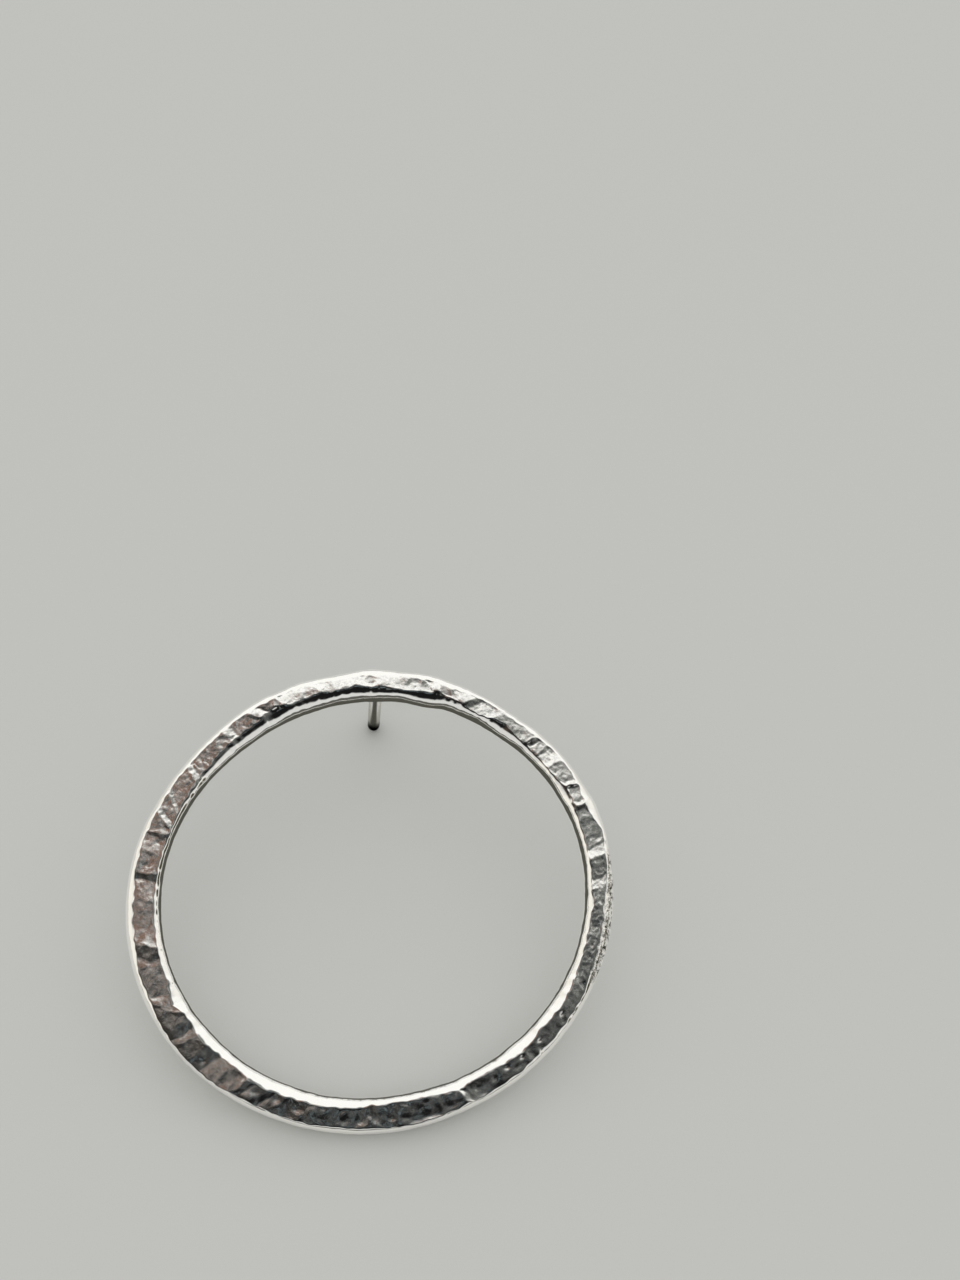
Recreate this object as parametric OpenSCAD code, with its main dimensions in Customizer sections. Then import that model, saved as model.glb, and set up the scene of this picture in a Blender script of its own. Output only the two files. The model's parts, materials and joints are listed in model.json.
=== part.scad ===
// Hammered silver circle stud earring, lying face up on a table as it rests by itself.
// Millimetres, +Z up. The origin is on the table, under the middle of the earring's outline.
// Angles round the ring are clockwise from the ear post, seen from the hammered face.
// Across the wire, u runs outward from the middle of the wire, and v towards the hammered face.

/* [Ring] */
// Radius of the ring, to the middle of its wire
ring_r = 15; // [12:0.5:20]
// How far the ring is out of round: its radius grows and shrinks by this much
oval = 0.4; // [0:0.1:0.6]
// Direction in which the ring is drawn out, clockwise from the post
oval_dir = 70; // [0:5:175]

/* [Wire] */
// Depth of the round back, below the middle of the wire
back_depth = 0.95; // [0.8:0.05:1.1]
// Height of the hammered face above the middle of the wire
face_height = 0.77; // [0.7:0.01:0.78]

/* [Hammering] */
// How strongly the hammer marks stand out, where 1 is as made
mark_gain = 1; // [0:0.25:1.5]
// Sections along the ring for each hammer mark
mark_steps = 3; // [1:1:4]
// Share of its height that each mark keeps from the marks before it
level_kept = 0.8; // [0:0.1:0.9]

/* [Ear post] */
// Diameter of the post's wire
post_d = 0.9; // [0.7:0.05:1]
// Length of the post behind the back of the ring
post_len = 8.5; // [8:0.5:12]
// Place of the post round the ring, clockwise from the top
post_at = 1; // [-3:0.5:3]
// How far the solder spreads round the foot of the post
solder_spread = 0.25; // [0.1:0.05:0.3]
// How far the solder climbs up the post
solder_climb = 0.4; // [0.2:0.1:0.6]

/* [Hidden] */

// The wire at places round the ring: it is wider where it was hammered harder.
// Columns: angle, and how far the wire reaches outward and inward from its middle
AT = 0;
OUT = 1;
IN = 2;
WIRE = [
    [  0, 1.27, 1.06], [  8, 1.13, 1.09], [ 15, 1.16, 1.19], [ 21, 1.03, 1.04],
    [ 30, 0.87, 1.09], [ 40, 0.75, 1.12], [ 46, 0.90, 1.07], [ 55, 0.98, 1.02],
    [ 63, 1.02, 0.98], [ 69, 1.17, 0.94], [ 78, 1.13, 0.92], [ 84, 1.05, 0.92],
    [ 92, 1.09, 0.92], [105, 1.07, 0.92], [120, 1.02, 0.96], [140, 1.03, 1.03],
    [155, 1.03, 1.08], [168, 1.09, 1.19], [180, 1.14, 1.18], [196, 1.15, 1.17],
    [212, 1.19, 1.18], [230, 1.30, 1.20], [248, 1.32, 1.14], [262, 1.30, 1.10],
    [272, 1.25, 1.09], [285, 1.15, 1.10], [298, 0.98, 1.13], [310, 0.95, 1.18],
    [320, 1.03, 1.21], [330, 1.18, 1.14], [336, 1.12, 1.11], [342, 1.20, 1.09],
    [348, 1.09, 1.07], [355, 1.17, 1.05],
];

// The hammer marks, clockwise. A mark runs from its own line to the next one's.
// Columns: angle of its line, how much further on the line's outer end is, and how far outward
// and inward the mark reaches; then in hundredths of a millimetre its rise from this line to
// the next, how much higher its outer edge is than its inner one, and its bulge
LINE = 0;
LEAN = 1;
EDGE_OUT = 2;
EDGE_IN = 3;
RISE = 4;
CANT = 5;
BULGE = 6;
MARKS = [
    [  2.2,  0.5, 0.62, -0.22,   2,  -8,    1], [  7.3,  1.0, 0.58, -0.45,  -1,  -3,    0],
    [ 13.2, -1.0, 0.55, -0.25,  -3,   1,    0], [ 15.6, -3.0, 0.60, -0.08,   4,  -8,    1],
    [ 18.3, -0.5, 0.40, -0.22,   4,   1,   -1], [ 21.9,  0.5, 0.45, -0.33,   4,  -3,    0],
    [ 27.0,  2.5, 0.45, -0.50,  -6,   1,    0], [ 28.6,  2.5, 0.40, -0.68,   4,  -3,   -1],
    [ 36.2,  3.0, 0.30, -0.22,  -3,  -2,    0], [ 42.2,  1.0, 0.40, -0.60,   3,   0,   -2],
    [ 46.2,  1.0, 0.45, -0.55, -12,   2,    0], [ 47.8,  0.5, 0.50, -0.60,   2,   0,    0],
    [ 50.3,  0.3, 0.55, -0.60,  -5,   0,    0], [ 51.1,  0.3, 0.60, -0.60,   4,  -2,   -1],
    [ 53.8,  0.3, 0.62, -0.58,   9,  -1,    0], [ 55.2,  0.0, 0.62, -0.55,   3,   0,   -1],
    [ 60.7,  0.2, 0.58, -0.42,   9,   0,    0], [ 62.3,  0.3, 0.52, -0.34,  -6,   0,    0],
    [ 63.1,  0.3, 0.48, -0.32,   5,   0,   -1], [ 66.6,  0.3, 0.42, -0.34,   8,   0,    0],
    [ 68.0,  0.0, 0.36, -0.45,  -4,   3,    0], [ 68.9,  0.2, 0.40, -0.50,   1,   1,   -1],
    [ 72.3,  0.5, 0.72, -0.50,  -1,   0,    0], [ 76.6,  0.3, 0.80, -0.50,   2,   0,    0],
    [ 79.2, -2.0, 0.72, -0.55,  11,  -3,    0], [ 82.3, -1.0, 0.65, -0.50,  -4,   0,    0],
    [ 87.2, -2.0, 0.50, -0.55,   8,  -3,    0], [ 90.3, -1.0, 0.35, -0.40,  -1,   0,    0],
    [ 96.0,  0.0, 0.35, -0.45,  -1,   0,    0], [103.0,  0.0, 0.35, -0.48,  -2,   0,    0],
    [109.5,  1.0, 0.37, -0.35,  -1,  -3,    0], [114.6,  0.0, 0.66, -0.20,   0, -12,    0],
    [120.6,  0.0, 0.68, -0.22,   0, -13,    1], [124.8,  0.0, 0.65, -0.25,   0, -13,    0],
    [128.2,  0.0, 0.68, -0.32,   0, -13,    0], [131.8,  0.0, 0.60, -0.25,   0, -12,    0],
    [136.2,  2.0, 0.72, -0.12,   2,  -9,    0], [141.5,  0.0, 0.72, -0.30,  -1,  -8,    0],
    [147.2,  0.0, 0.68, -0.40,   0, -10,    0], [150.4,  0.0, 0.75, -0.45,   2, -10,   -3],
    [156.0, -1.2, 0.75, -0.30,   7,  -2,    0], [157.4, -1.0, 0.78, -0.45,  -5,  -8,    1],
    [162.6,  0.0, 0.85, -0.65,   0, -10,    1], [167.5,  0.0, 0.90, -0.66,   1, -10,   -1],
    [172.3,  0.0, 0.90, -0.66,  -1, -10,    1], [176.2,  0.0, 0.85, -0.60,   0, -10,    1],
    [179.6, -2.0, 0.80, -0.58,  -5,  -6,    0], [183.0,  1.0, 0.80, -0.45,  -5,  -8,    0],
    [184.4,  1.0, 0.80, -0.35,   3, -10,    0], [188.0,  2.0, 0.82, -0.36,  -3,  -8,    0],
    [189.5,  2.0, 0.85, -0.40,   3, -10,    0], [193.0,  0.0, 0.90, -0.33,  -2,  -9,    2],
    [197.5,  0.0, 0.90, -0.32,   1,  -9,    0], [199.0, -1.5, 0.88, -0.30,  -5,  -6,    0],
    [201.2, -1.0, 0.90, -0.36,   2,  -9,   -2], [204.3,  2.8, 0.92, -0.36,  -3,  -6,    1],
    [207.6,  2.5, 0.92, -0.34,   5,  -7,    0], [209.6,  3.0, 0.88, -0.25,  -3,  -6,    2],
    [212.8,  2.0, 0.90, -0.25,   5,  -8,    0], [214.6,  1.5, 1.05, -0.50,  -7,  -3, -1.5],
    [219.3,  0.5, 1.10, -0.52,  -6,  -2, -0.5], [224.0,  0.0, 1.15, -0.50,   4,  -8,    0],
    [227.2,  0.0, 1.15, -0.42,   0,  -6,   -1], [231.3,  1.0, 1.15, -0.42,  -3,  -4,    0],
    [233.2,  0.5, 1.10, -0.58,   4,  -6,    1], [236.5,  0.0, 1.03, -0.58,   4,  -6,    0],
    [240.6,  5.5, 0.95, -0.22,  -5,   0,    1], [243.8,  1.0, 0.90, -0.58,   0,   0,    0],
    [248.8,  0.5, 0.92, -0.58,   1,   0,    1], [251.6,  0.5, 0.90, -0.60,  -2,   0,   -1],
    [253.4,  1.5, 0.78, -0.60,   6,  -3,    0], [256.6,  2.0, 0.72, -0.62,  -8,   0,   -1],
    [261.6,  2.2, 0.75, -0.62,  -1,   0,    0], [264.8,  1.5, 0.70, -0.65,   0,   0,    0],
    [268.0,  1.0, 0.72, -0.68,  -6,   0,   -1], [273.4,  0.8, 0.75, -0.70,   6,   0,    0],
    [274.9,  0.5, 0.75, -0.72,  -1,   0,   -1], [280.2,  1.0, 0.75, -0.70,  -5,   0,    0],
    [284.6,  0.8, 0.75, -0.70,   3,   0,    0], [285.6,  0.3, 0.70, -0.72,  -1,   0,    0],
    [287.2, -2.0, 0.68, -0.70,   3,   0,    0], [289.2,  3.5, 0.65, -0.72,  -6,   0,    0],
    [290.9,  3.5, 0.62, -0.70,   2,   0,    0], [294.0,  4.0, 0.60, -0.68,  -4,   0,    0],
    [295.6,  4.0, 0.58, -0.68,   2,   0,    0], [303.0,  2.2, 0.55, -0.62,  -6,   0,    0],
    [305.2,  1.5, 0.52, -0.60,   2,   0,    0], [310.6, -2.0, 0.52, -0.42,   4,   1,    0],
    [317.3,  0.0, 0.60, -0.38,  -5,  -1,    0], [319.7,  0.5, 0.65, -0.38,   4,   1,    0],
    [325.4, -2.5, 0.60, -0.30,   4,   1,    0], [326.5, -2.5, 0.60, -0.05,  -5,  -2,    1],
    [329.0, -2.0, 0.62, -0.10,   2,   4,    0], [330.4,  0.0, 0.62, -0.08,   9,   8,    0],
    [334.0,  0.3, 0.70, -0.22,  -5,  -7,    1], [341.6,  1.5, 0.68, -0.18,   3,  -5,    0],
    [343.3,  0.0, 0.62, -0.12,  -2,  -8,    1], [346.2,  0.0, 0.58, -0.30,   0,  -3,   -1],
    [350.7,  0.0, 0.55, -0.20,  -2,  -6,    2], [354.4,  0.0, 0.65,  0.03,   0, -11,    0],
    [357.6,  0.0, 0.62, -0.22,   0,  -6,   -2],
];
hundredth = 0.01;

// Points of one section of the wire: across the face, down each shoulder and round the back
FACE_STEPS = 4;
SHOULDER_STEPS = 3;
BACK_STEPS = 8;
POST_SIDES = 48;
// How far up from the side of the wire a shoulder meets the face, in degrees
shoulder_top = 80;
// Share of a mark that its step at either end takes up
line_share = 0.15;
// How deep the foot of the post and its solder reach into the wire, and their steps
post_sink = 0.5;
solder_sink = 0.25;
FILLET_STEPS = 4;
TIP_STEPS = 5;

full_turn = 360;
post_r = post_d / 2;
mark_count = len(MARKS);
wire_count = len(WIRE);
station_count = mark_count * mark_steps;

function mix(a, b, t) = a + (b - a) * t;

// A smooth curve through four values, from the second to the third
function through(a, b, c, d, t) =
    b + (c - a) * t / 2 + (a - 2.5 * b + 2 * c - d / 2) * t ^ 2 + (1.5 * (b - c) + (d - a) / 2) * t ^ 3;

// The WIRE table read at any angle
function wire_row(angle) = max([for (i = [0 : wire_count - 1]) if (WIRE[i][AT] <= angle) i]);
function wire_next(i) = i + 1 < wire_count ? WIRE[i + 1][AT] : full_turn;
function wire_value(i, column) = WIRE[(i + wire_count) % wire_count][column];
function wire_between(i, t, column) =
    through(wire_value(i - 1, column), wire_value(i, column),
            wire_value(i + 1, column), wire_value(i + 2, column), t);
function wire_at(angle, column) =
    let (a = (angle + full_turn) % full_turn, i = wire_row(a))
    wire_between(i, (a - WIRE[i][AT]) / (wire_next(i) - WIRE[i][AT]), column);

// A section of the ring lies at a share t of the way through a mark.
// Its angle changes with side, 1 at the outer edge of the face and -1 at the inner one,
// so that the sections lean as the marks do
function line_at(i, side) = MARKS[i][LINE] + MARKS[i][LEAN] * side / 2;
function next_line(i, side) =
    i + 1 < mark_count ? line_at(i + 1, side) : line_at(0, side) + full_turn;
function angle_at(i, t, side) = mix(line_at(i, side), next_line(i, side), t);

// The MARKS table read round and round the ring
function mark_value(i, column) = MARKS[(i + mark_count) % mark_count][column];

// Each mark starts near the height where the last one ended. Level of a mark's middle, in
// hundredths of a millimetre, with the levels of the marks before it faded out
function next_level(i, level) =
    level_kept * (level + (mark_value(i - 1, RISE) + mark_value(i, RISE)) / 2);
levels = [
    for (i = 0, level = next_level(0, 0); i < 2 * mark_count; i = i + 1, level = next_level(i, level))
        if (i >= mark_count) level
];

// Height of a mark over the middle of the wire, and the place of an edge of the face
function mark_height(i, t, side) =
    face_height + mark_gain * hundredth
        * (levels[i] + MARKS[i][RISE] * (t - 0.5) + MARKS[i][CANT] * side / 2
           + MARKS[i][BULGE] * 4 * t * (1 - t) * (1 - side ^ 2));
function edge_at(i, t, column) =
    t < 0.5 ? mix(mark_value(i - 1, column), mark_value(i, column), t + 0.5)
            : mix(mark_value(i, column), mark_value(i + 1, column), t - 0.5);

function radius_at(angle) = ring_r + oval * cos(2 * (angle - oval_dir));

// A place on the ring, from its angle and its u and v in the wire
function on_ring(angle, u, v) =
    [(radius_at(angle) + u) * sin(angle), (radius_at(angle) + u) * cos(angle), v];

// A shoulder is a quarter of an oval, from the side of the wire up to the edge of the face,
// which it meets shoulder_top degrees up. The middle of that oval, and a point of the shoulder
function shoulder_middle(edge, reach) =
    (edge - cos(shoulder_top) * reach) / (1 - cos(shoulder_top));
function shoulder_u(middle, reach, up) = middle + (reach - middle) * cos(up);
function shoulder_v(height, up) = height * sin(up) / sin(shoulder_top);

// One section of the wire as a list of points, from the outer edge of the face round to it again
function section(i, t) =
    let (
        centre = angle_at(i, t, 0),
        out = wire_at(centre, OUT),
        in = wire_at(centre, IN),
        edge_out = edge_at(i, t, EDGE_OUT),
        edge_in = edge_at(i, t, EDGE_IN),
        high_out = mark_height(i, t, 1),
        high_in = mark_height(i, t, -1),
        middle_out = shoulder_middle(edge_out, out),
        middle_in = shoulder_middle(edge_in, -in)
    )
    concat(
        [for (k = [0 : FACE_STEPS])
            let (side = 1 - 2 * k / FACE_STEPS)
            on_ring(angle_at(i, t, side), mix(edge_out, edge_in, (1 - side) / 2), mark_height(i, t, side))],
        [for (k = [1 : SHOULDER_STEPS])
            let (s = k / SHOULDER_STEPS, up = shoulder_top * (1 - s))
            on_ring(angle_at(i, t, s - 1), shoulder_u(middle_in, -in, up), shoulder_v(high_in, up))],
        [for (k = [1 : BACK_STEPS - 1])
            let (turn = 180 * k / BACK_STEPS)
            on_ring(centre, (turn < 90 ? -in : -out) * cos(turn), -back_depth * sin(turn))],
        [for (k = [0 : SHOULDER_STEPS - 1])
            let (s = k / SHOULDER_STEPS, up = shoulder_top * s)
            on_ring(angle_at(i, t, s), shoulder_u(middle_out, out, up), shoulder_v(high_out, up))]
    );

// Shares of the way through a mark at which its sections lie, clear of the steps at its lines
function share_at(k) = mark_steps == 1 ? 0.5 : mix(line_share, 1 - line_share, k / (mark_steps - 1));

sections = [for (i = [0 : mark_count - 1], k = [0 : mark_steps - 1]) section(i, share_at(k))];
section_size = len(sections[0]);
ring_points = [for (s = sections, p = s) p];

// Two triangles between each pair of points on neighbouring sections
ring_faces = [
    for (i = [0 : station_count - 1], k = [0 : section_size - 1])
        let (
            here = i * section_size,
            next = ((i + 1) % station_count) * section_size,
            beside = (k + 1) % section_size
        )
        each [[here + k, next + k, here + beside], [next + k, next + beside, here + beside]]
];

// The earring stands on the tip of its post and on the lower back of the ring.
// The tilt of the ring is corrected until both touch the table
tip_middle = [
    radius_at(post_at) * sin(post_at), radius_at(post_at) * cos(post_at), post_r - back_depth - post_len
];
function height_of(p, tilt) = p[1] * sin(tilt) + p[2] * cos(tilt);
function forward_of(p, tilt) = p[1] * cos(tilt) - p[2] * sin(tilt);
function ring_low(tilt) = min([for (p = ring_points) height_of(p, tilt)]);
function tip_low(tilt) = height_of(tip_middle, tilt) - post_r;
function settled(tilt, passes) =
    passes == 0 ? tilt : settled(tilt + atan((ring_low(tilt) - tip_low(tilt)) / (2 * ring_r)), passes - 1);
rest_tilt = settled(atan(post_len / (2 * ring_r)), 5);
rest_drop = ring_low(rest_tilt);
rest_left = min([for (p = ring_points) p[0]]);
rest_right = max([for (p = ring_points) p[0]]);
rest_near = min([for (p = ring_points) forward_of(p, rest_tilt)]);
rest_far = forward_of(tip_middle, rest_tilt) + post_r;

// Outline of the post and its solder, as a half section: [radius, v], from foot to rounded tip
post_outline = concat(
    [[0, post_sink - back_depth], [post_r + solder_spread, post_sink - back_depth]],
    [for (k = [0 : FILLET_STEPS])
        let (turn = 90 * k / FILLET_STEPS)
        [post_r + solder_spread * (1 - sin(turn)),
         solder_sink - back_depth - (solder_climb + solder_sink) * (1 - cos(turn))]],
    [for (k = [0 : TIP_STEPS - 1])
        let (turn = 90 * k / TIP_STEPS)
        [post_r * cos(turn), tip_middle[2] - post_r * sin(turn)]],
    [[0, tip_middle[2] - post_r]]
);

module ring() {
    polyhedron(points = ring_points, faces = ring_faces, convexity = 6);
}

module ear_post() {
    translate([tip_middle[0], tip_middle[1], 0])
        rotate_extrude($fn = POST_SIDES)
            polygon(post_outline);
}

module hammered_circle_stud() {
    color("silver")
        translate([-(rest_left + rest_right) / 2, -(rest_near + rest_far) / 2, -rest_drop])
            rotate([rest_tilt, 0, 0])
                union() {
                    ring();
                    ear_post();
                }
}

hammered_circle_stud();
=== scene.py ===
import json
import math
from bisect import bisect_right

import bmesh
import bpy
from mathutils import Matrix, Vector, noise


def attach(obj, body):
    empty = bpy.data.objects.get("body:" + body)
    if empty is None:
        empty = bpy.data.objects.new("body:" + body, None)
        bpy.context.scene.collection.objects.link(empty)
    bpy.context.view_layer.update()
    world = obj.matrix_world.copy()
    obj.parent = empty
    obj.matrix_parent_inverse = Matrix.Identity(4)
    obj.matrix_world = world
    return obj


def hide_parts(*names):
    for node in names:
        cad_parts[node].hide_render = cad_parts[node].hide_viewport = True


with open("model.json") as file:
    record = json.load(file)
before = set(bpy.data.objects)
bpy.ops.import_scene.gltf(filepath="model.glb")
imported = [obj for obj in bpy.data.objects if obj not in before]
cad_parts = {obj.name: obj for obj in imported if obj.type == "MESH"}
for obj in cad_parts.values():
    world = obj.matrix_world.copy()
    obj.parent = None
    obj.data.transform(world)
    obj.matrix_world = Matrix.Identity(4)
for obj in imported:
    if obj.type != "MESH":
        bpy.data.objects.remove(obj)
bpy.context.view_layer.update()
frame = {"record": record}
MM = 0.001

# The ring: one length of round sterling wire, bent into a circle and soldered shut.
# Its front was beaten flat with the narrow end of a hammer, blow beside blow, which spread the
# wire and left leaning marks. Its shoulders and its back stayed round and were only polished.
RING_R = 15.0
OVAL = 0.4
OVAL_DIR = 70
BACK_DEPTH = 0.95
FULL_TURN = 360
# How unevenly the face's edges run and over what length, in mm, each edge in its own way
RAGGED = 0.10
RAGGED_SIZE = 0.5
RAGGED_SEEDS = (0, 9)
# How far the wire reaches from its middle, at angles clockwise from the post:
# angle in degrees, reach outward and reach inward in millimetres
WIRE = [
    (0, 1.27, 1.06), (8, 1.13, 1.09), (15, 1.16, 1.19), (21, 1.03, 1.04), (30, 0.87, 1.09),
    (40, 0.75, 1.12), (46, 0.90, 1.07), (55, 0.98, 1.02), (63, 1.02, 0.98), (69, 1.17, 0.94),
    (78, 1.13, 0.92), (84, 1.05, 0.92), (92, 1.09, 0.92), (105, 1.07, 0.92), (120, 1.02, 0.96),
    (140, 1.03, 1.03), (155, 1.03, 1.08), (168, 1.09, 1.19), (180, 1.14, 1.18), (196, 1.15, 1.17),
    (212, 1.19, 1.18), (230, 1.30, 1.20), (248, 1.32, 1.14), (262, 1.30, 1.10), (272, 1.25, 1.09),
    (285, 1.15, 1.10), (298, 0.98, 1.13), (310, 0.95, 1.18), (320, 1.03, 1.21), (330, 1.18, 1.14),
    (336, 1.12, 1.11), (342, 1.20, 1.09), (348, 1.09, 1.07), (355, 1.17, 1.05),
]
# The hammer marks, clockwise: angle of the line where the mark starts, how much further on the
# line's outer end is, both in degrees; how far out and in the mark reaches, in millimetres from
# the wire's middle; and in hundredths of one, its rise from this line to the next one, how much
# higher its outer edge is than its inner one, and its bulge
MARKS = [
    (2.2, 0.5, 0.62, -0.22, 2, -8, 1), (7.3, 1.0, 0.58, -0.45, -1, -3, 0),
    (13.2, -1.0, 0.55, -0.25, -3, 1, 0), (15.6, -3.0, 0.60, -0.08, 4, -8, 1),
    (18.3, -0.5, 0.40, -0.22, 4, 1, -1), (21.9, 0.5, 0.45, -0.33, 4, -3, 0),
    (27.0, 2.5, 0.45, -0.50, -6, 1, 0), (28.6, 2.5, 0.40, -0.68, 4, -3, -1),
    (36.2, 3.0, 0.30, -0.22, -3, -2, 0), (42.2, 1.0, 0.40, -0.60, 3, 0, -2),
    (46.2, 1.0, 0.45, -0.55, -12, 2, 0), (47.8, 0.5, 0.50, -0.60, 2, 0, 0),
    (50.3, 0.3, 0.55, -0.60, -5, 0, 0), (51.1, 0.3, 0.60, -0.60, 4, -2, -1),
    (53.8, 0.3, 0.62, -0.58, 9, -1, 0), (55.2, 0.0, 0.62, -0.55, 3, 0, -1),
    (60.7, 0.2, 0.58, -0.42, 9, 0, 0), (62.3, 0.3, 0.52, -0.34, -6, 0, 0),
    (63.1, 0.3, 0.48, -0.32, 5, 0, -1), (66.6, 0.3, 0.42, -0.34, 8, 0, 0),
    (68.0, 0.0, 0.36, -0.45, -4, 3, 0), (68.9, 0.2, 0.40, -0.50, 1, 1, -1),
    (72.3, 0.5, 0.72, -0.50, -1, 0, 0), (76.6, 0.3, 0.80, -0.50, 2, 0, 0),
    (79.2, -2.0, 0.72, -0.55, 11, -3, 0), (82.3, -1.0, 0.65, -0.50, -4, 0, 0),
    (87.2, -2.0, 0.50, -0.55, 8, -3, 0), (90.3, -1.0, 0.35, -0.40, -1, 0, 0),
    (96.0, 0.0, 0.35, -0.45, -1, 0, 0), (103.0, 0.0, 0.35, -0.48, -2, 0, 0),
    (109.5, 1.0, 0.37, -0.35, -1, -3, 0), (114.6, 0.0, 0.66, -0.20, 0, -12, 0),
    (120.6, 0.0, 0.68, -0.22, 0, -13, 1), (124.8, 0.0, 0.65, -0.25, 0, -13, 0),
    (128.2, 0.0, 0.68, -0.32, 0, -13, 0), (131.8, 0.0, 0.60, -0.25, 0, -12, 0),
    (136.2, 2.0, 0.72, -0.12, 2, -9, 0), (141.5, 0.0, 0.72, -0.30, -1, -8, 0),
    (147.2, 0.0, 0.68, -0.40, 0, -10, 0), (150.4, 0.0, 0.75, -0.45, 2, -10, -3),
    (156.0, -1.2, 0.75, -0.30, 7, -2, 0), (157.4, -1.0, 0.78, -0.45, -5, -8, 1),
    (162.6, 0.0, 0.85, -0.65, 0, -10, 1), (167.5, 0.0, 0.90, -0.66, 1, -10, -1),
    (172.3, 0.0, 0.90, -0.66, -1, -10, 1), (176.2, 0.0, 0.85, -0.60, 0, -10, 1),
    (179.6, -2.0, 0.80, -0.58, -5, -6, 0), (183.0, 1.0, 0.80, -0.45, -5, -8, 0),
    (184.4, 1.0, 0.80, -0.35, 3, -10, 0), (188.0, 2.0, 0.82, -0.36, -3, -8, 0),
    (189.5, 2.0, 0.85, -0.40, 3, -10, 0), (193.0, 0.0, 0.90, -0.33, -2, -9, 2),
    (197.5, 0.0, 0.90, -0.32, 1, -9, 0), (199.0, -1.5, 0.88, -0.30, -5, -6, 0),
    (201.2, -1.0, 0.90, -0.36, 2, -9, -2), (204.3, 2.8, 0.92, -0.36, -3, -6, 1),
    (207.6, 2.5, 0.92, -0.34, 5, -7, 0), (209.6, 3.0, 0.88, -0.25, -3, -6, 2),
    (212.8, 2.0, 0.90, -0.25, 5, -8, 0), (214.6, 1.5, 1.05, -0.50, -7, -3, -1.5),
    (219.3, 0.5, 1.10, -0.52, -6, -2, -0.5), (224.0, 0.0, 1.15, -0.50, 4, -8, 0),
    (227.2, 0.0, 1.15, -0.42, 0, -6, -1), (231.3, 1.0, 1.15, -0.42, -3, -4, 0),
    (233.2, 0.5, 1.10, -0.58, 4, -6, 1), (236.5, 0.0, 1.03, -0.58, 4, -6, 0),
    (240.6, 5.5, 0.95, -0.22, -5, 0, 1), (243.8, 1.0, 0.90, -0.58, 0, 0, 0),
    (248.8, 0.5, 0.92, -0.58, 1, 0, 1), (251.6, 0.5, 0.90, -0.60, -2, 0, -1),
    (253.4, 1.5, 0.78, -0.60, 6, -3, 0), (256.6, 2.0, 0.72, -0.62, -8, 0, -1),
    (261.6, 2.2, 0.75, -0.62, -1, 0, 0), (264.8, 1.5, 0.70, -0.65, 0, 0, 0),
    (268.0, 1.0, 0.72, -0.68, -6, 0, -1), (273.4, 0.8, 0.75, -0.70, 6, 0, 0),
    (274.9, 0.5, 0.75, -0.72, -1, 0, -1), (280.2, 1.0, 0.75, -0.70, -5, 0, 0),
    (284.6, 0.8, 0.75, -0.70, 3, 0, 0), (285.6, 0.3, 0.70, -0.72, -1, 0, 0),
    (287.2, -2.0, 0.68, -0.70, 3, 0, 0), (289.2, 3.5, 0.65, -0.72, -6, 0, 0),
    (290.9, 3.5, 0.62, -0.70, 2, 0, 0), (294.0, 4.0, 0.60, -0.68, -4, 0, 0),
    (295.6, 4.0, 0.58, -0.68, 2, 0, 0), (303.0, 2.2, 0.55, -0.62, -6, 0, 0),
    (305.2, 1.5, 0.52, -0.60, 2, 0, 0), (310.6, -2.0, 0.52, -0.42, 4, 1, 0),
    (317.3, 0.0, 0.60, -0.38, -5, -1, 0), (319.7, 0.5, 0.65, -0.38, 4, 1, 0),
    (325.4, -2.5, 0.60, -0.30, 4, 1, 0), (326.5, -2.5, 0.60, -0.05, -5, -2, 1),
    (329.0, -2.0, 0.62, -0.10, 2, 4, 0), (330.4, 0.0, 0.62, -0.08, 9, 8, 0),
    (334.0, 0.3, 0.70, -0.22, -5, -7, 1), (341.6, 1.5, 0.68, -0.18, 3, -5, 0),
    (343.3, 0.0, 0.62, -0.12, -2, -8, 1), (346.2, 0.0, 0.58, -0.30, 0, -3, -1),
    (350.7, 0.0, 0.55, -0.20, -2, -6, 2), (354.4, 0.0, 0.65, 0.03, 0, -11, 0),
    (357.6, 0.0, 0.62, -0.22, 0, -6, -2),
]
LINE, LEAN, EDGE_OUT, EDGE_IN, RISE = range(5)
HUNDREDTH = 0.01
# Small dents, and one bump: angle in degrees, place outward from the wire's middle, length along
# the ring, width and depth, in mm
DENTS = [
    (94.0, 0.45, 0.25, 0.25, 0.02), (105.2, 0.00, 0.25, 0.25, 0.03), (108.6, 0.50, 0.30, 0.30, 0.03),
    (124.3, 0.12, 0.35, 0.25, 0.045), (125.6, 0.50, 0.40, 0.25, 0.02), (133.2, 0.08, 0.35, 0.25, 0.045),
    (139.3, 0.10, 0.30, 0.28, 0.045), (141.6, 0.38, 0.80, 0.30, 0.02), (144.0, 0.00, 0.40, 0.30, 0.045),
    (148.2, 0.15, 0.45, 0.40, 0.038), (152.8, 0.10, 0.50, 0.35, 0.02), (160.2, 0.45, 0.90, 0.35, 0.034),
    (166.4, 0.58, 0.80, 0.35, 0.022), (166.7, -0.28, 0.60, 0.40, 0.03), (168.6, 0.00, 0.35, 0.28, 0.02),
    (172.4, 0.40, 0.80, 0.35, 0.028), (172.0, -0.45, 0.40, 0.28, 0.02), (176.2, 0.30, 0.55, 0.40, 0.04),
    (180.0, 0.20, 0.55, 0.50, 0.04), (181.4, 0.00, 0.55, 0.40, 0.036), (183.6, 0.50, 0.40, 0.40, 0.022),
    (188.0, 0.38, 0.60, 0.45, 0.034), (193.0, 0.45, 0.90, 0.40, 0.022), (193.2, -0.20, 0.35, 0.30, 0.018),
    (199.4, 0.20, 0.60, 0.50, 0.035), (205.0, 0.00, 0.65, 0.50, 0.035), (210.6, 0.15, 0.70, 0.50, 0.035),
    (225.2, 0.40, 0.45, 0.45, 0.03), (332.2, 0.08, 0.70, 0.50, -0.065), (359.2, -0.05, 0.45, 0.45, 0.03),
]
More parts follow.
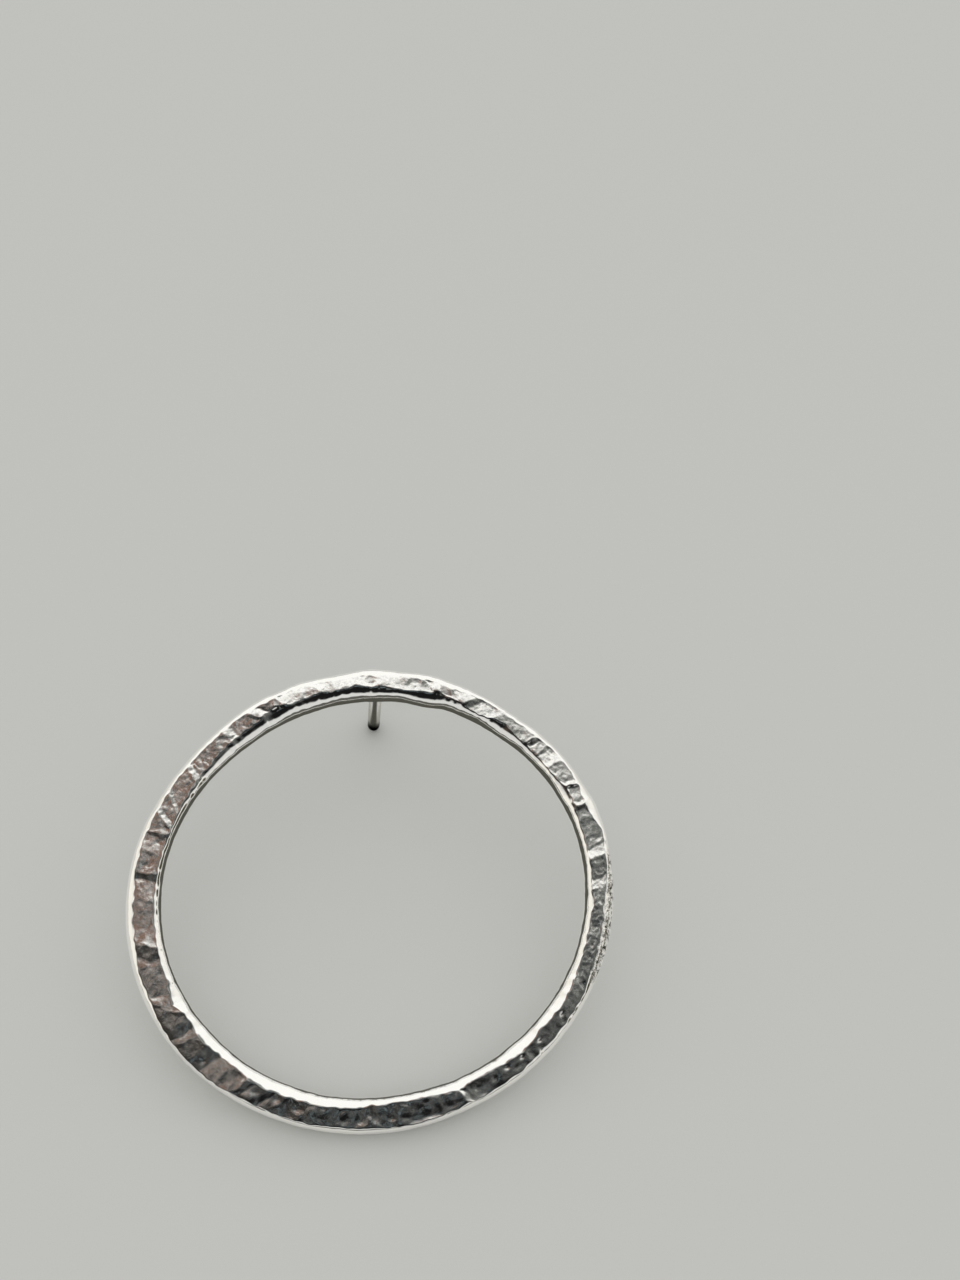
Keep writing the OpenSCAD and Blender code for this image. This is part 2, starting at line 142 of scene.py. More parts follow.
# A dent reaches no further along the ring than this many degrees
DENT_REACH = 3
# Height of the flattened front over the wire's middle. The polishing evened its two edges
# with their neighbours this many degrees away
FACE_HEIGHT = 0.77
EDGE_NEAR = (-1.2, -0.6, 0, 0.6, 1.2)
# Each mark starts near the height where the last one ended: the share of that height it keeps
LEVEL_KEPT = 0.8
# A shoulder is a quarter of an oval. It meets the face this many degrees up from the wire's side
SHOULDER_TOP = math.radians(80)
# Half the width of the step between two marks, in degrees, and the most of a mark that it takes
LINE_HALF = 0.55
LINE_SHARE = 0.45
# How far the line of a step wanders, in degrees, over what length in mm, and in which way
LINE_WANDERS = 0.5
WANDER_SIZE = 0.5
WANDER_SEED = 5
# How sharply the hammering ends at the edges of the face
EDGE_SHARPNESS = 6
# Unevenness that the hammer's own face left in the marks, coarse and fine: size and depth, in mm
DIMPLES = [(1.3, 0.05), (0.6, 0.021)]
GRAINS = [(0.3, 0.009), (0.16, 0.004)]
# How strong the two are round the ring: angle, share of the coarse and of the fine
CHATTER_AT = [
    (0, 0.7, 1.0), (40, 0.6, 1.0), (50, 0.4, 1.0), (80, 0.5, 1.1), (92, 0.6, 1.8), (110, 0.6, 1.8),
    (118, 0.3, 0.5), (135, 0.35, 0.4), (150, 0.6, 0.4), (165, 1.0, 0.3), (205, 0.9, 0.3), (217, 0.5, 0.3),
    (240, 0.5, 0.6), (262, 0.5, 0.6), (280, 0.5, 1.3), (320, 0.6, 1.4), (335, 0.6, 1.0),
    (FULL_TURN, 0.7, 1.0),
]
# Gentle waves that polishing left on the shoulders and the back: size and depth, in mm. They are
# this many times deeper on the inner shoulder, where polishing is harder
WAVES = [(1.5, 0.03), (0.5, 0.016), (0.25, 0.003)]
WAVES_SEED = 7
INNER_WAVES = 1.3
# The rasped stretch of the outer shoulder: its two ends and how softly it starts, in degrees, and
# over how many sides of the wire it starts above the wire's side and ends below the face
RASPED = (79, 115)
RASP_STARTS = 4
RASP_SIDES = (4, 3)
# Its scratches: size and depth in mm, how many times longer they are toward the post than across,
# and how much more tarnish they hold than a hammered face
RASP = [(0.35, 0.045), (0.14, 0.025)]
RASP_SEED = 3
RASP_DRAWN = 3
RASP_TARNISH = 6
RING_STEPS = 1440
WIRE_SIDES = 68
# Sides of the wire's section, from its outer side over the front to its inner side
FACE_STARTS, FACE_ENDS, BACK_STARTS = 10, 39, 48


def radius_at(angle):
    """Radius of the wire's middle, in mm, at an angle clockwise from the post, in degrees."""
    return RING_R + OVAL * math.cos(math.radians(2 * (angle - OVAL_DIR)))


def through(a, b, c, d, t):
    """A smooth curve through four values, from the second to the third."""
    bend = a - 2.5 * b + 2 * c - d / 2
    return b + (c - a) * t / 2 + bend * t**2 + (1.5 * (b - c) + (d - a) / 2) * t**3


def reach_at(angle):
    """How far the wire reaches outward and inward from its middle, at an angle."""
    i = bisect_right([row[0] for row in WIRE], angle) - 1
    four = [WIRE[(i + k) % len(WIRE)] for k in (-1, 0, 1, 2)]
    end = four[2][0] if i + 1 < len(WIRE) else FULL_TURN
    t = (angle - four[1][0]) / (end - four[1][0])
    return [through(*column, t) for column in list(zip(*four))[1:]]


def line_at(i, side):
    """Angle of the line that starts a mark. Side 1 is the face's outer edge, and -1 its inner one."""
    turns, row = divmod(i, len(MARKS))
    return MARKS[row][LINE] + MARKS[row][LEAN] * side / 2 + turns * FULL_TURN


def edge_at(angle, side):
    """Place of an edge of the face, outward from the wire's middle, between the marks' middles."""
    i = bisect_right(EDGE_LINES[side], angle) - 1
    middle = (line_at(i, side) + line_at(i + 1, side)) / 2
    if angle < middle:
        i -= 1
    start = (line_at(i, side) + line_at(i + 1, side)) / 2
    end = (line_at(i + 1, side) + line_at(i + 2, side)) / 2
    t = (angle - start) / (end - start)
    column = EDGE_OUT if side == 1 else EDGE_IN
    return MARKS[i % len(MARKS)][column] * (1 - t) + MARKS[(i + 1) % len(MARKS)][column] * t


def settled_levels():
    """Level of each mark's middle, in hundredths of a millimetre, once round the ring and again."""
    level, levels = 0, []
    for i in range(2 * len(MARKS)):
        rises = MARKS[(i - 1) % len(MARKS)][RISE] + MARKS[i % len(MARKS)][RISE]
        level = LEVEL_KEPT * (level + rises / 2)
        levels.append(level)
    return levels[len(MARKS):]


LEVELS = settled_levels()


def mark_height(i, t, side):
    """Height of a mark over the wire's middle, t of the way along it, at a side of the face."""
    rise, cant, bulge = MARKS[i % len(MARKS)][RISE:]
    swell = 4 * t * (1 - t) * (1 - side**2)
    level = LEVELS[i % len(MARKS)] + rise * (t - 0.5) + cant * side / 2 + bulge * swell
    return FACE_HEIGHT + level * HUNDREDTH


def face_height(angle, side, lines):
    """Height of the hammered face, with a short smooth step from each mark to the next."""
    i = bisect_right(lines, angle) - 1
    start, end = line_at(i, side), line_at(i + 1, side)
    height = mark_height(i, (angle - start) / (end - start), side)
    first = angle - start < end - angle
    other = i - 1 if first else i + 1
    from_line = angle - start if first else end - angle
    other_start, other_end = line_at(other, side), line_at(other + 1, side)
    half = min(LINE_HALF, LINE_SHARE * (end - start), LINE_SHARE * (other_end - other_start))
    if from_line >= half:
        return height
    beside = mark_height(other, (angle - other_start) / (other_end - other_start), side)
    share = 0.5 + from_line / half / 2
    share = share * share * (3 - 2 * share)
    return beside + (height - beside) * share


def uneven(spot, scales, seed=0):
    """Fine unevenness at a spot on the wire, in mm."""
    return sum(depth * noise.noise(spot / size + Vector((seed, size, 0))) for size, depth in scales)


def chatter_at(angle):
    """Shares of the coarse and of the fine unevenness at an angle, read between the rows of the table."""
    i = min(bisect_right([row[0] for row in CHATTER_AT], angle), len(CHATTER_AT) - 1)
    before, after = CHATTER_AT[i - 1], CHATTER_AT[i]
    t = (angle - before[0]) / (after[0] - before[0])
    return [a + (b - a) * t for a, b in zip(before[1:], after[1:])]


def dents_at(angle, place):
    """How far the small dents lower the face, in mm."""
    low = 0
    for at, out, length, width, depth in DENTS:
        away = (angle - at + FULL_TURN / 2) % FULL_TURN - FULL_TURN / 2
        if abs(away) < DENT_REACH:
            along, across = math.radians(away) * RING_R / (length / 2), (place - out) / (width / 2)
            low += depth * math.exp(-(along**2) - across**2)
    return low


EDGE_LINES = {side: [line_at(i, side) for i in range(len(MARKS))] for side in (1, -1)}
FACE_SIDES = [1 - 2 * (k - FACE_STARTS) / (FACE_ENDS - FACE_STARTS) for k in range(WIRE_SIDES)]
FACE_LINES = [[line_at(i, side) for i in range(len(MARKS))] for side in FACE_SIDES]


def section_at(angle):
    """The wire's section: for each side, millimetres outward and upward, and how much it was hammered."""
    out, inward = reach_at(angle)
    turn = math.radians(angle)
    middle = Vector((math.sin(turn), math.cos(turn), 0)) * RING_R
    coarse, fine = chatter_at(angle)
    ragged = [
        RAGGED * noise.noise(middle / RAGGED_SIZE + Vector((0, 0, seed))) for seed in RAGGED_SEEDS
    ]
    edges = []
    for side, reach, rag in ((1, out, ragged[0]), (-1, -inward, ragged[1])):
        lines = FACE_LINES[FACE_STARTS if side == 1 else FACE_ENDS]
        height = sum(face_height(angle + near, side, lines) for near in EDGE_NEAR) / len(EDGE_NEAR)
        place = edge_at(angle, side) + rag
        centre = (place - math.cos(SHOULDER_TOP) * reach) / (1 - math.cos(SHOULDER_TOP))
        edges.append((place, height, centre, reach - centre))
    (u_out, v_out, mid_out, wide_out), (u_in, v_in, mid_in, wide_in) = edges
    fade = min(max(min(angle - RASPED[0], RASPED[1] - angle) / RASP_STARTS, 0), 1)
    points = []
    for k in range(WIRE_SIDES):
        hammered = 0
        if k < FACE_STARTS:
            up = SHOULDER_TOP * k / FACE_STARTS
            u, v = mid_out + wide_out * math.cos(up), v_out * math.sin(up) / math.sin(SHOULDER_TOP)
        elif k <= FACE_ENDS:
            side = FACE_SIDES[k]
            u = u_out + (u_in - u_out) * (1 - side) / 2
            hammered = 1 - side**EDGE_SHARPNESS
            spot = middle * (1 + u / RING_R)
            wander = LINE_WANDERS * noise.noise(spot / WANDER_SIZE + Vector((0, 0, WANDER_SEED)))
            edge = v_out + (v_in - v_out) * (1 - side) / 2
            v = face_height(angle + wander, side, FACE_LINES[k]) - dents_at(angle, u)
            v += uneven(spot, DIMPLES) * coarse + uneven(spot, GRAINS) * fine
            v = edge + (v - edge) * hammered
        elif k < BACK_STARTS:
            up = SHOULDER_TOP * (1 - (k - FACE_ENDS) / (BACK_STARTS - FACE_ENDS))
            u, v = mid_in + wide_in * math.cos(up), v_in * math.sin(up) / math.sin(SHOULDER_TOP)
        else:
            round_back = math.pi * (k - BACK_STARTS) / (WIRE_SIDES - BACK_STARTS)
            reach = inward if round_back < math.pi / 2 else out
            u, v = -reach * math.cos(round_back), -BACK_DEPTH * math.sin(round_back)
        if k < FACE_STARTS or k > FACE_ENDS:
            spot = middle + Vector((u * math.sin(turn), u * math.cos(turn), v))
            swell = uneven(spot, WAVES, WAVES_SEED)
            if FACE_ENDS < k < BACK_STARTS:
                swell *= INNER_WAVES
            if k < FACE_STARTS and fade:
                worn_here = fade * min(k / RASP_SIDES[0], 1, (FACE_STARTS - k) / RASP_SIDES[1])
                drawn = Vector((spot.x, spot.y / RASP_DRAWN, spot.z))
                swell += uneven(drawn, RASP, RASP_SEED) * worn_here
                hammered = RASP_TARNISH * worn_here
            away = math.hypot(u, v)
            u, v = u * (1 + swell / away), v * (1 + swell / away)
        points.append((u, v, hammered))
    return points


ring_bm = bmesh.new()
bmesh.ops.create_grid(ring_bm, x_segments=RING_STEPS, y_segments=WIRE_SIDES, size=1)
hammered_layer = ring_bm.verts.layers.float.new("hammered")
sections = [section_at(step * FULL_TURN / RING_STEPS) for step in range(RING_STEPS)]
for vert in ring_bm.verts:
    step = round((vert.co.x + 1) / 2 * RING_STEPS) % RING_STEPS
    side = round((vert.co.y + 1) / 2 * WIRE_SIDES) % WIRE_SIDES
    outward, upward, vert[hammered_layer] = sections[step][side]
    angle = step * FULL_TURN / RING_STEPS
    turn, radius = math.radians(angle), radius_at(angle) + outward
    vert.co = Vector((radius * math.sin(turn), radius * math.cos(turn), upward)) * MM
bmesh.ops.remove_doubles(ring_bm, verts=ring_bm.verts[:], dist=1e-8)
bmesh.ops.recalc_face_normals(ring_bm, faces=ring_bm.faces[:])

# It lies face up, on the tip of its post and the lower back of its ring. The post's mount in the
# frame gives its tilt and place. Every piece starts in the ring's own axes: the post is at the top
# (+Y) and the hammered face looks up (+Z).
# Angle of the post in degrees, and height of the middle of its mount in mm
POST_AT = 1.0
POST_MIDDLE = -5.175
post_mount = frame["record"]["mounts"][0]
post_axis = Vector(post_mount["axis"])
post_turn, post_foot_r = math.radians(POST_AT), radius_at(POST_AT)
post_foot = Vector((post_foot_r * math.sin(post_turn), post_foot_r * math.cos(post_turn), 0)) * MM
tilt = Matrix.Rotation(math.atan2(post_axis.y, -post_axis.z), 4, "X")
mount_in_ring = post_foot + Vector((0, 0, POST_MIDDLE * MM))
lying = Matrix.Translation(Vector(post_mount["pos_m"]) - tilt @ mount_in_ring) @ tilt
ring_bm.transform(lying)


def finished(name, bm, material, body="root"):
    """A smooth-shaded piece made from a bmesh, on its body and with its finish."""
    for face in bm.faces:
        face.smooth = True
    mesh = bpy.data.meshes.new(name)
    bm.to_mesh(mesh)
    bm.free()
    mesh.materials.append(material)
    piece = bpy.data.objects.new(name, mesh)
    bpy.context.scene.collection.objects.link(piece)
    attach(piece, body)
    return piece


def worn_silver():
    """Node group for silver that was worked and worn: specks of tarnish, uneven gloss, fine grain."""
    group = bpy.data.node_groups.new("worn_silver", "ShaderNodeTree")
    for name, value in (
        ("Worked", 1.0), ("Speck Size", 0.2), ("Tarnish", 0.5),
        ("Gloss Low", 0.1), ("Gloss High", 0.3), ("Grain", 0.004),
    ):
        wear = group.interface.new_socket(name, in_out="INPUT", socket_type="NodeSocketFloat")
        wear.default_value = value
    group.interface.new_socket("Color", in_out="OUTPUT", socket_type="NodeSocketColor")
    group.interface.new_socket("Roughness", in_out="OUTPUT", socket_type="NodeSocketFloat")
    group.interface.new_socket("Height", in_out="OUTPUT", socket_type="NodeSocketFloat")
    nodes, links = group.nodes, group.links
    given, result = nodes.new("NodeGroupInput"), nodes.new("NodeGroupOutput")
    in_mm = nodes.new("ShaderNodeVectorMath")
    in_mm.operation = "SCALE"
    in_mm.inputs["Scale"].default_value = 1 / MM
    links.new(nodes.new("ShaderNodeTexCoord").outputs["Object"], in_mm.inputs[0])

    def sum_of(kind, a, b):
        node = nodes.new("ShaderNodeMath")
        node.operation = kind
        for socket, value in zip(node.inputs, (a, b)):
            if isinstance(value, (int, float)):
                socket.default_value = value
            else:
                links.new(value, socket)
        return node.outputs["Value"]

    def clouds(scale, detail, low, high):
        texture = nodes.new("ShaderNodeTexNoise")
        texture.inputs["Detail"].default_value = detail
        texture.inputs["Roughness"].default_value = 0.6
        links.new(in_mm.outputs["Vector"], texture.inputs["Vector"])
        if isinstance(scale, (int, float)):
            texture.inputs["Scale"].default_value = scale
        else:
            links.new(scale, texture.inputs["Scale"])
        spread = nodes.new("ShaderNodeMapRange")
        spread.inputs["From Min"].default_value = low
        spread.inputs["From Max"].default_value = high
        links.new(texture.outputs["Fac"], spread.inputs["Value"])
        return spread.outputs["Result"]

    speck_scale = sum_of("DIVIDE", 1, given.outputs["Speck Size"])
    specks = clouds(speck_scale, 3, 0.47, 0.62)
    specks = sum_of("MULTIPLY", specks, given.outputs["Tarnish"])
    specks = sum_of("MULTIPLY", specks, given.outputs["Worked"])
    colour = nodes.new("ShaderNodeMix")
    colour.data_type = "RGBA"
    colour.inputs["A"].default_value = (0.95, 0.94, 0.915, 1)
    colour.inputs["B"].default_value = (0.10, 0.095, 0.08, 1)
    links.new(specks, colour.inputs["Factor"])
    gloss = clouds(sum_of("MULTIPLY", speck_scale, 0.6), 2, 0.35, 0.65)
    gloss = sum_of("MULTIPLY", gloss, sum_of("MINIMUM", given.outputs["Worked"], 1))
    spread = sum_of("SUBTRACT", given.outputs["Gloss High"], given.outputs["Gloss Low"])
    rough = sum_of("ADD", sum_of("MULTIPLY", gloss, spread), given.outputs["Gloss Low"])
    grain = clouds(9.0, 2, 0.0, 1.0)
    grain = sum_of("MULTIPLY", sum_of("MULTIPLY", grain, given.outputs["Grain"]), given.outputs["Worked"])
    links.new(colour.outputs["Result"], result.inputs["Color"])
    links.new(rough, result.inputs["Roughness"])
    links.new(grain, result.inputs["Height"])
    return group


worn = worn_silver()


def silver(name, worked_attribute=None, **values):
    """Silver with its own amount of wear; where it was worked may come from the mesh."""
    material = bpy.data.materials.new(name)
    material.use_nodes = True
    nodes, links = material.node_tree.nodes, material.node_tree.links
    shader = nodes["Principled BSDF"]
    shader.inputs["Metallic"].default_value = 1
    skin = nodes.new("ShaderNodeGroup")
    skin.node_tree = worn
    for socket, value in values.items():
        skin.inputs[socket.replace("_", " ").title()].default_value = value
    if worked_attribute:
        worked = nodes.new("ShaderNodeAttribute")
        worked.attribute_name = worked_attribute
        links.new(worked.outputs["Fac"], skin.inputs["Worked"])
    links.new(skin.outputs["Color"], shader.inputs["Base Color"])
    links.new(skin.outputs["Roughness"], shader.inputs["Roughness"])
    bump = nodes.new("ShaderNodeBump")
    bump.inputs["Distance"].default_value = MM
    links.new(skin.outputs["Height"], bump.inputs["Height"])
    links.new(bump.outputs["Normal"], shader.inputs["Normal"])
    return material


hammered_silver = silver(
    "hammered_silver", "hammered",
    speck_size=0.3, tarnish=0.2, gloss_low=0.09, gloss_high=0.26, grain=0.004,
)
ring = finished("hammered_ring", ring_bm, hammered_silver)
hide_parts("hammered_circle_stud")

# The ear post: straight drawn wire, cut off, rounded at its tip and soldered behind the ring.
# It is plain satin silver, with painted shade near black at the tip, standing for the contact shadow it
# mirrors.
POST_R = 0.45
POST_LENGTH = 8.5
POST_TIP = -BACK_DEPTH - POST_LENGTH
# How far behind the wire's middle its foot ends, inside the ring, and a narrow band there, in mm
POST_SINK = 0.5
POST_RIM = 0.1
POST_SIDES = 48
TIP_STEPS = 8
# The end darkened with painted shade: its length and how softly it starts, in mm, and the share of sheen
# it keeps
SHADED_TIP = 1.15
TIP_SHADE_STARTS = 1.0
TIP_SHADE_SHEEN = 0.3
# Edges round the post that carry the change to the painted shade, in mm from its tip
TIP_SHADE_EDGES = (3, 2.5, 2.1, 1.7, 1)


def turned(outline, closed):
    """A solid turned on the post's axis, from an outline of (radius, height) in millimetres."""
    bm = bmesh.new()
    verts = [bm.verts.new(Vector((r, 0, z)) * MM) for r, z in outline]
    edges = [bm.edges.new(pair) for pair in zip(verts, verts[1:])]
    if closed:
        edges.append(bm.edges.new((verts[-1], verts[0])))
    bmesh.ops.spin(
        bm, geom=verts + edges, cent=(0, 0, 0), axis=(0, 0, 1),
        angle=math.tau, steps=POST_SIDES, use_merge=True,
    )
    bmesh.ops.remove_doubles(bm, verts=bm.verts[:], dist=1e-7)
    bmesh.ops.holes_fill(bm, edges=bm.edges[:], sides=0)
    bmesh.ops.recalc_face_normals(bm, faces=bm.faces[:])
    return bm


outline = [(POST_R, -POST_SINK), (POST_R, -POST_SINK - POST_RIM)]
outline += [(POST_R, POST_TIP + from_tip) for from_tip in TIP_SHADE_EDGES]
for k in range(TIP_STEPS + 1):
    turn = math.pi / 2 * k / TIP_STEPS
    outline.append((POST_R * math.cos(turn), POST_TIP + POST_R * (1 - math.sin(turn))))
post_bm = turned(outline, closed=False)
# How much painted shade each point near the tip takes
tip_shade_layer = post_bm.verts.layers.float.new("tip_shade")
for vert in post_bm.verts:
    from_tip = vert.co.z / MM - POST_TIP
    vert[tip_shade_layer] = min(max((SHADED_TIP + TIP_SHADE_STARTS - from_tip) / TIP_SHADE_STARTS, 0), 1)
post_bm.transform(lying @ Matrix.Translation(post_foot))
post_silver = silver(
    "post_silver",
    speck_size=0.3, tarnish=0.06, gloss_low=0.16, gloss_high=0.26, grain=0.003,
)
nodes, links = post_silver.node_tree.nodes, post_silver.node_tree.links
base = nodes["Principled BSDF"].inputs["Base Color"]
# Painted shade at the tip: the colour goes near black and the sheen drops, for the contact shadow it
# mirrors
painted_tip_shade = nodes.new("ShaderNodeMix")
painted_tip_shade.data_type = "RGBA"
painted_tip_shade.inputs["B"].default_value = (0.02, 0.02, 0.018, 1)
tip_shade = nodes.new("ShaderNodeAttribute")
tip_shade.attribute_name = "tip_shade"
links.new(tip_shade.outputs["Fac"], painted_tip_shade.inputs["Factor"])
links.new(base.links[0].from_socket, painted_tip_shade.inputs["A"])
links.new(painted_tip_shade.outputs["Result"], base)
tip_sheen = nodes.new("ShaderNodeMapRange")
tip_sheen.inputs["To Min"].default_value = 1
tip_sheen.inputs["To Max"].default_value = TIP_SHADE_SHEEN
links.new(tip_shade.outputs["Fac"], tip_sheen.inputs["Value"])
links.new(tip_sheen.outputs["Result"], nodes["Principled BSDF"].inputs["Specular Tint"])
finished("ear_post", post_bm, post_silver)

# The solder at the foot of the post: a small ring of hard silver solder that ran round the post
# and up it, a little duller than the wires it joins.
SOLDER_SPREAD = 0.25
SOLDER_CLIMB = 0.4
SOLDER_SINK = 0.25
SOLDER_STEPS = 8
# Radius of its hole, which the post fills, and height of its sunk upper side, in mm
solder_hole = POST_R * 0.6
solder_top = -BACK_DEPTH + SOLDER_SINK
outline = [(solder_hole, solder_top), (POST_R + SOLDER_SPREAD, solder_top)]
for k in range(SOLDER_STEPS + 1):
    turn = math.pi / 2 * k / SOLDER_STEPS
    outline.append((
        POST_R + SOLDER_SPREAD * (1 - math.sin(turn)),
        -BACK_DEPTH - SOLDER_CLIMB * (1 - math.cos(turn)),
    ))
outline.append((solder_hole, -BACK_DEPTH - SOLDER_CLIMB))
solder_bm = turned(outline, closed=True)
solder_bm.transform(lying @ Matrix.Translation(post_foot))
solder_silver = silver(
    "solder_silver",
    speck_size=0.25, tarnish=0.35, gloss_low=0.3, gloss_high=0.5, grain=0.005,
)
finished("post_solder", solder_bm, solder_silver)

# The surface it lies on: a plain pale table. Inside the ring, well in front of it and behind the post,
# it carries painted shade that shows only in the silver's reflections, darker there than from above.
TABLE_HALF = 3
# Where in front of the ring the painted shade seen in the silver starts and where it is full, in mm
PAINTED_SHADE_FRONT = (-20.5, -23.5)
# Ovals of painted dark shade, and the one behind the post of painted grey shade, both seen only in
# the silver: middle, half lengths in mm and softness of the edge
PAINTED_SHADE_OVALS = [((0, 0.7), (11.7, 12.5), 0.08), ((0.1, 12.5), (1.6, 3.2), 0.15)]
PAINTED_GREY_OVAL = ((0.35, 16.8), (3.2, 2.4), 0.15)
floor_bm = bmesh.new()
bmesh.ops.create_grid(floor_bm, x_segments=1, y_segments=1, size=TABLE_HALF)
floor_mesh = bpy.data.meshes.new("table")
floor_bm.to_mesh(floor_mesh)
floor_bm.free()
floor = bpy.data.objects.new("table", floor_mesh)
bpy.context.scene.collection.objects.link(floor)
table = bpy.data.materials.new("pale_table")
table.use_nodes = True
nodes, links = table.node_tree.nodes, table.node_tree.links
nodes["Principled BSDF"].inputs["Roughness"].default_value = 0.8
spot = nodes.new("ShaderNodeTexCoord").outputs["Object"]
place = nodes.new("ShaderNodeSeparateXYZ")
links.new(spot, place.inputs["Vector"])
shade = nodes.new("ShaderNodeMapRange")
shade.inputs["From Min"].default_value = PAINTED_SHADE_FRONT[0] * MM
shade.inputs["From Max"].default_value = PAINTED_SHADE_FRONT[1] * MM
links.new(place.outputs["Y"], shade.inputs["Value"])
painted_shade = shade.outputs["Result"]


def oval(middle, half, soft):
    """Mask of an oval on the table, from its middle, its half lengths in mm and its edge's softness."""
    mapped = nodes.new("ShaderNodeMapping")
    mapped.vector_type = "TEXTURE"
    mapped.inputs["Location"].default_value = (middle[0] * MM, middle[1] * MM, 0)
    mapped.inputs["Scale"].default_value = (half[0] * MM, half[1] * MM, 1)
    links.new(spot, mapped.inputs["Vector"])
    from_middle = nodes.new("ShaderNodeVectorMath")
    from_middle.operation = "LENGTH"
    links.new(mapped.outputs["Vector"], from_middle.inputs[0])
    mask = nodes.new("ShaderNodeMapRange")
    mask.inputs["From Min"].default_value = 1 + soft
    mask.inputs["From Max"].default_value = 1 - soft
    links.new(from_middle.outputs["Value"], mask.inputs["Value"])
    return mask.outputs["Result"]


for shade_oval in PAINTED_SHADE_OVALS:
    darker = nodes.new("ShaderNodeMath")
    darker.operation = "MAXIMUM"
    links.new(painted_shade, darker.inputs[0])
    links.new(oval(*shade_oval), darker.inputs[1])
    painted_shade = darker.outputs["Value"]
# Painted reflection: the colour the silver mirrors, with painted shade in the ovals and well in front
painted_grey = nodes.new("ShaderNodeMix")
painted_grey.data_type = "RGBA"
painted_grey.inputs["A"].default_value = (0.70, 0.70, 0.68, 1)
painted_grey.inputs["B"].default_value = (0.37, 0.365, 0.335, 1)
links.new(oval(*PAINTED_GREY_OVAL), painted_grey.inputs["Factor"])
painted_reflection = nodes.new("ShaderNodeMix")
painted_reflection.data_type = "RGBA"
painted_reflection.inputs["B"].default_value = (0.075, 0.075, 0.06, 1)
links.new(painted_grey.outputs["Result"], painted_reflection.inputs["A"])
links.new(painted_shade, painted_reflection.inputs["Factor"])
# Glossy rays see the painted reflection, and the camera sees the plain table
tone = nodes.new("ShaderNodeMix")
tone.data_type = "RGBA"
tone.inputs["A"].default_value = (0.56, 0.566, 0.548, 1)
links.new(nodes.new("ShaderNodeLightPath").outputs["Is Glossy Ray"], tone.inputs["Factor"])
links.new(painted_reflection.outputs["Result"], tone.inputs["B"])
links.new(tone.outputs["Result"], nodes["Principled BSDF"].inputs["Base Color"])
floor_mesh.materials.append(table)

# The studio round it, as the silver mirrors it: round patches of plain light, each one over those
# before it. Columns: name, compass (0 is +Y and 90 is +X), height above the horizon, half width and
# softness of the edge, all in degrees, and colour.
STUDIO = [
    ("far_window", 0, 46, 50, 10, (1.03, 1.03, 1.0)),
    ("right_wall", 90, 15, 38, 20, (0.95, 0.94, 0.88)),
    ("left_wall", 270, 15, 38, 20, (0.95, 0.92, 0.84)),
    ("right_ceiling", 118, 78, 12, 4, (0.165, 0.17, 0.155)),
    ("left_ceiling", 260, 80, 10.2, 4, (0.215, 0.138, 0.107)),
    ("middle_ceiling", 162, 82.5, 5.5, 3, (0.40, 0.425, 0.43)),
    ("near_wall", 180, 15, 50, 18, (0.70, 0.70, 0.685)),
    ("left_beam", 214, 75, 9, 4, (0.052, 0.047, 0.043)),
    ("left_lamp", 229, 77, 3, 2.5, (0.42, 0.39, 0.36)),
    ("right_shelf", 98, 14, 18, 5, (0.07, 0.065, 0.045)),
    ("right_curtain", 133, 57, 16, 5, (0.085, 0.09, 0.085)),
    ("left_curtain", 234, 59, 14, 6, (0.055, 0.042, 0.033)),
    ("dark_curtain", 180, 56, 24, 5, (0.009, 0.009, 0.009)),
    ("right_beam", 143, 75, 8, 3.5, (0.105, 0.11, 0.105)),
    ("near_drape", 170, 74, 7, 3, (0.029, 0.033, 0.035)),
    ("left_drape", 208, 68, 7, 3, (0.034, 0.031, 0.028)),
    ("curtain_fold", 176, 70, 3, 1.5, (0.14, 0.17, 0.18)),
    ("curtain_gap", 196, 62, 3, 1.5, (0.15, 0.17, 0.165)),
    ("table_edge", 180, -60, 68, 3, (0.085, 0.085, 0.07)),
    ("far_table_edge", 0, -60, 64, 3, (0.085, 0.085, 0.075)),
]
SKY = (0.55, 0.55, 0.54)
world = bpy.data.worlds.new("studio")
bpy.context.scene.world = world
world.use_nodes = True
nodes, links = world.node_tree.nodes, world.node_tree.links
background = nodes["Background"]
direction = nodes.new("ShaderNodeTexCoord").outputs["Generated"]
colour = None
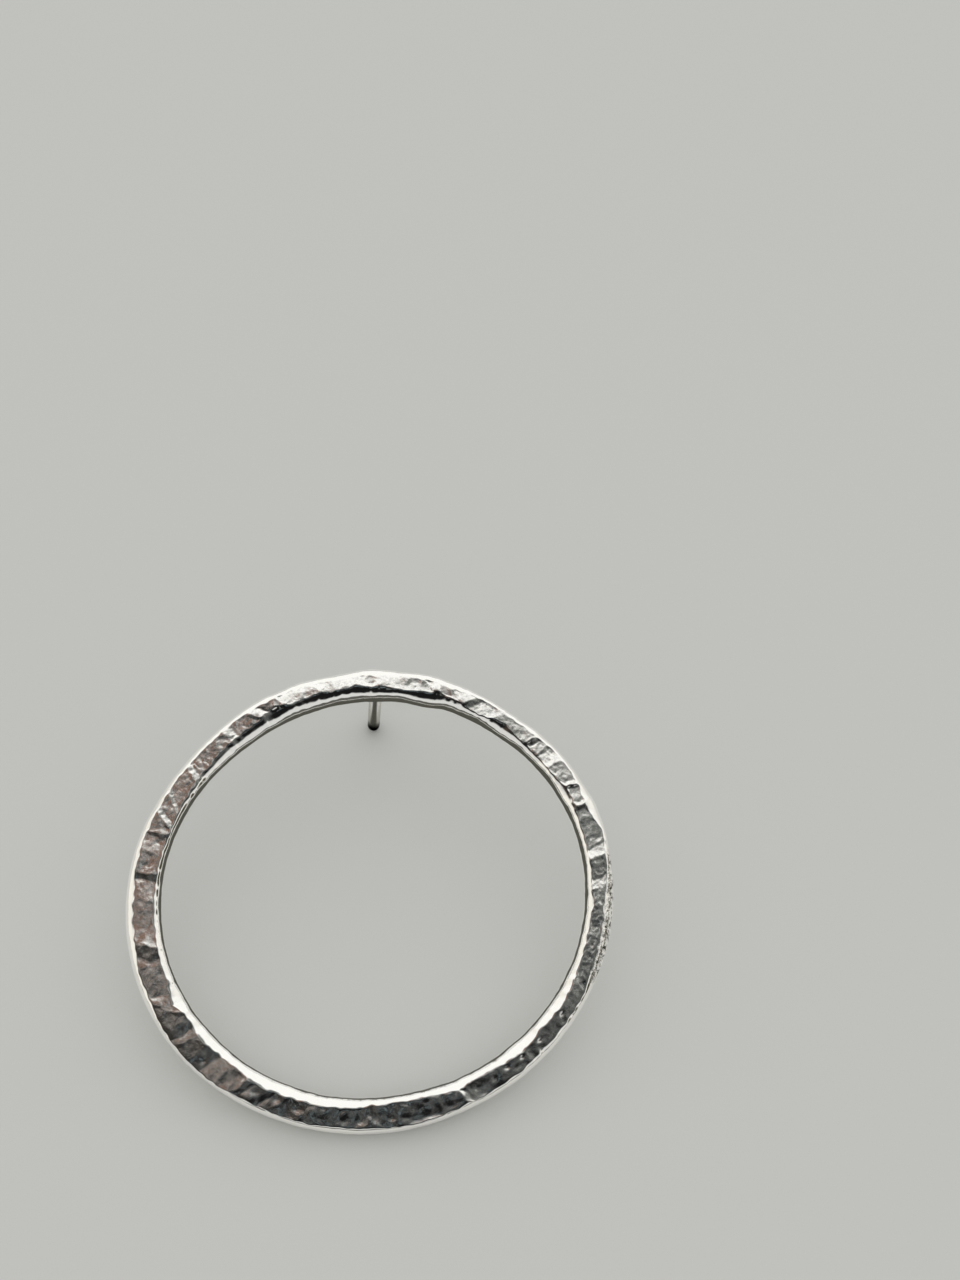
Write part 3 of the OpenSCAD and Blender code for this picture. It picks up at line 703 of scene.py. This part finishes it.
for name, compass, height, half_width, softness, tone in STUDIO:
    c, h = math.radians(compass), math.radians(height)
    toward = (math.sin(c) * math.cos(h), math.cos(c) * math.cos(h), math.sin(h))
    dot = nodes.new("ShaderNodeVectorMath")
    dot.operation = "DOT_PRODUCT"
    dot.inputs[1].default_value = toward
    links.new(direction, dot.inputs[0])
    away = nodes.new("ShaderNodeMath")
    away.operation = "ARCCOSINE"
    links.new(dot.outputs["Value"], away.inputs[0])
    mask = nodes.new("ShaderNodeMapRange")
    mask.interpolation_type = "SMOOTHSTEP"
    mask.inputs["From Min"].default_value = math.radians(half_width + softness)
    mask.inputs["From Max"].default_value = math.radians(half_width - softness)
    links.new(away.outputs["Value"], mask.inputs["Value"])
    mix = nodes.new("ShaderNodeMix")
    mix.data_type = "RGBA"
    mix.label = name
    mix.inputs["B"].default_value = (*tone, 1)
    links.new(mask.outputs["Result"], mix.inputs["Factor"])
    if colour is None:
        mix.inputs["A"].default_value = (*SKY, 1)
    else:
        links.new(colour, mix.inputs["A"])
    colour = mix.outputs["Result"]
path = nodes.new("ShaderNodeLightPath")
for ray, shown_tone in (
    ("Is Diffuse Ray", (0.95, 0.95, 0.94, 1)),
    ("Is Camera Ray", (0.62, 0.62, 0.61, 1)),
):
    shown = nodes.new("ShaderNodeMix")
    shown.data_type = "RGBA"
    shown.inputs["B"].default_value = shown_tone
    links.new(path.outputs[ray], shown.inputs["Factor"])
    links.new(colour, shown.inputs["A"])
    colour = shown.outputs["Result"]
links.new(colour, background.inputs["Color"])

# The camera, at the photograph's angle to the face. Its place is in millimetres in the ring's own
# axes, and it is turned by these degrees about X and Y. Both were fitted to the ring's edges in the
# photograph.
CAMERA_PLACE = (-2.5, -25.2, 119.3)
CAMERA_TURNS = (20, -4.6)
camera_data = bpy.data.cameras.new("camera")
camera_data.lens = 50
camera_data.sensor_width = 36
camera_data.clip_start = MM
camera = bpy.data.objects.new("camera", camera_data)
bpy.context.scene.collection.objects.link(camera)
camera.matrix_world = (
    lying
    @ Matrix.Translation(Vector(CAMERA_PLACE) * MM)
    @ Matrix.Rotation(math.radians(CAMERA_TURNS[0]), 4, "X")
    @ Matrix.Rotation(math.radians(CAMERA_TURNS[1]), 4, "Y")
)
bpy.context.scene.camera = camera
bpy.context.scene.view_settings.view_transform = "Standard"
